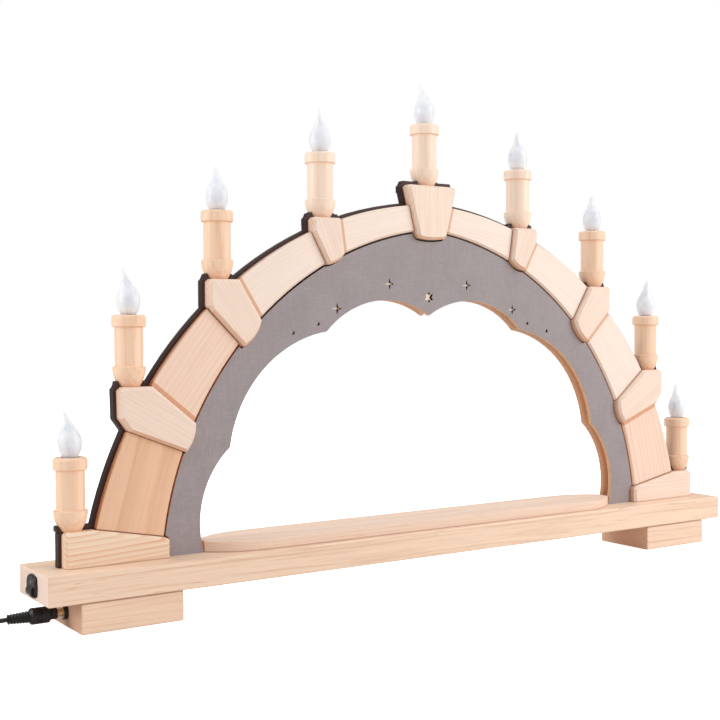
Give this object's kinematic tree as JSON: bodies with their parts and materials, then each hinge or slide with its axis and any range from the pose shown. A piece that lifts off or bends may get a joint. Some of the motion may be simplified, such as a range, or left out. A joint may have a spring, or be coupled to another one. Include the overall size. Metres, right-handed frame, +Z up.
{
  "type": "candle arch",
  "caption": "Footed wooden candle arch of chamfered stones, with electric candles, a scalloped inner plate, a rocker switch and a plug-in supply.",
  "frame": {"origin": "middle of the footprint, on the surface that the arch stands on", "axes": "+X along the base board to the right, +Y to the back, +Z up"},
  "size_m": [0.8256, 0.0964, 0.3967],
  "materials": {
    "pine": "smooth bare pine",
    "pale_wood": "turned bare lime",
    "grey_stain": "grey stained plywood",
    "dark_stain": "dark stained plywood",
    "milk_glass": "frosted lamp glass",
    "black_plastic": "moulded",
    "black_cord": "smooth flexible jacket",
    "wire": "insulated wire",
    "nickel": "plated",
    "steel": "zinc plated"
  },
  "bodies": {
    "arch": {"base_board": "pine", "foot_left": "pine", "foot_right": "pine", "platform_board": "pine", "springer_left": "pine", "springer_right": "pine", "keystone_2": "pine", "keystone_3": "pine", "keystone_4": "pine", "keystone_5": "pine", "keystone_6": "pine", "keystone_7": "pine", "keystone_8": "pine", "segment_1": "pine", "segment_2": "pine", "segment_3": "pine", "segment_4": "pine", "segment_5": "pine", "segment_6": "pine", "segment_7": "pine", "segment_8": "pine", "candle_sleeve_1": "pale_wood", "candle_sleeve_2": "pale_wood", "candle_sleeve_3": "pale_wood", "candle_sleeve_4": "pale_wood", "candle_sleeve_5": "pale_wood", "candle_sleeve_6": "pale_wood", "candle_sleeve_7": "pale_wood", "candle_sleeve_8": "pale_wood", "candle_sleeve_9": "pale_wood", "front_plate": "grey_stain", "back_plate": "grey_stain", "carrier_ring": "dark_stain", "lamp_sockets": "black_plastic", "switch_housing": "black_plastic", "jack_nut": "black_plastic", "wiring_loom": "wire", "jack_body": "nickel", "foot_screws": "steel"},
    "lamp_1": {"flame_lamp_1": "milk_glass"},
    "lamp_2": {"flame_lamp_2": "milk_glass"},
    "lamp_3": {"flame_lamp_3": "milk_glass"},
    "lamp_4": {"flame_lamp_4": "milk_glass"},
    "lamp_5": {"flame_lamp_5": "milk_glass"},
    "lamp_6": {"flame_lamp_6": "milk_glass"},
    "lamp_7": {"flame_lamp_7": "milk_glass"},
    "lamp_8": {"flame_lamp_8": "milk_glass"},
    "lamp_9": {"flame_lamp_9": "milk_glass"},
    "rocker": {"switch_rocker": "black_plastic"},
    "cord_set": {"plug_barrel": "nickel", "plug_body": "black_plastic", "cord_lead": "black_cord", "cord_coil": "black_cord", "cord_tail": "black_cord", "power_adapter": "black_plastic", "adapter_pins": "nickel"}
  },
  "joints": [
    {"name": "lamp_1_out", "type": "slide", "parent": "arch", "child": "lamp_1", "axis": [0, 0, 1], "range_m": [0, 0.02]},
    {"name": "lamp_2_out", "type": "slide", "parent": "arch", "child": "lamp_2", "axis": [0, 0, 1], "range_m": [0, 0.02]},
    {"name": "lamp_3_out", "type": "slide", "parent": "arch", "child": "lamp_3", "axis": [0, 0, 1], "range_m": [0, 0.02]},
    {"name": "lamp_4_out", "type": "slide", "parent": "arch", "child": "lamp_4", "axis": [0, 0, 1], "range_m": [0, 0.02]},
    {"name": "lamp_5_out", "type": "slide", "parent": "arch", "child": "lamp_5", "axis": [0, 0, 1], "range_m": [0, 0.02]},
    {"name": "lamp_6_out", "type": "slide", "parent": "arch", "child": "lamp_6", "axis": [0, 0, 1], "range_m": [0, 0.02]},
    {"name": "lamp_7_out", "type": "slide", "parent": "arch", "child": "lamp_7", "axis": [0, 0, 1], "range_m": [0, 0.02]},
    {"name": "lamp_8_out", "type": "slide", "parent": "arch", "child": "lamp_8", "axis": [0, 0, 1], "range_m": [0, 0.02]},
    {"name": "lamp_9_out", "type": "slide", "parent": "arch", "child": "lamp_9", "axis": [0, 0, 1], "range_m": [0, 0.02]},
    {"name": "switch_rock", "type": "hinge", "parent": "arch", "child": "rocker", "pos_m": [-0.3255, 0, 0.0308], "axis": [0, 1, 0], "range_deg": [-20, 0]},
    {"name": "plug_pull", "type": "slide", "parent": "arch", "child": "cord_set", "axis": [-1, 0, 0], "range_m": [-0.0039, 0.01]}
  ]
}
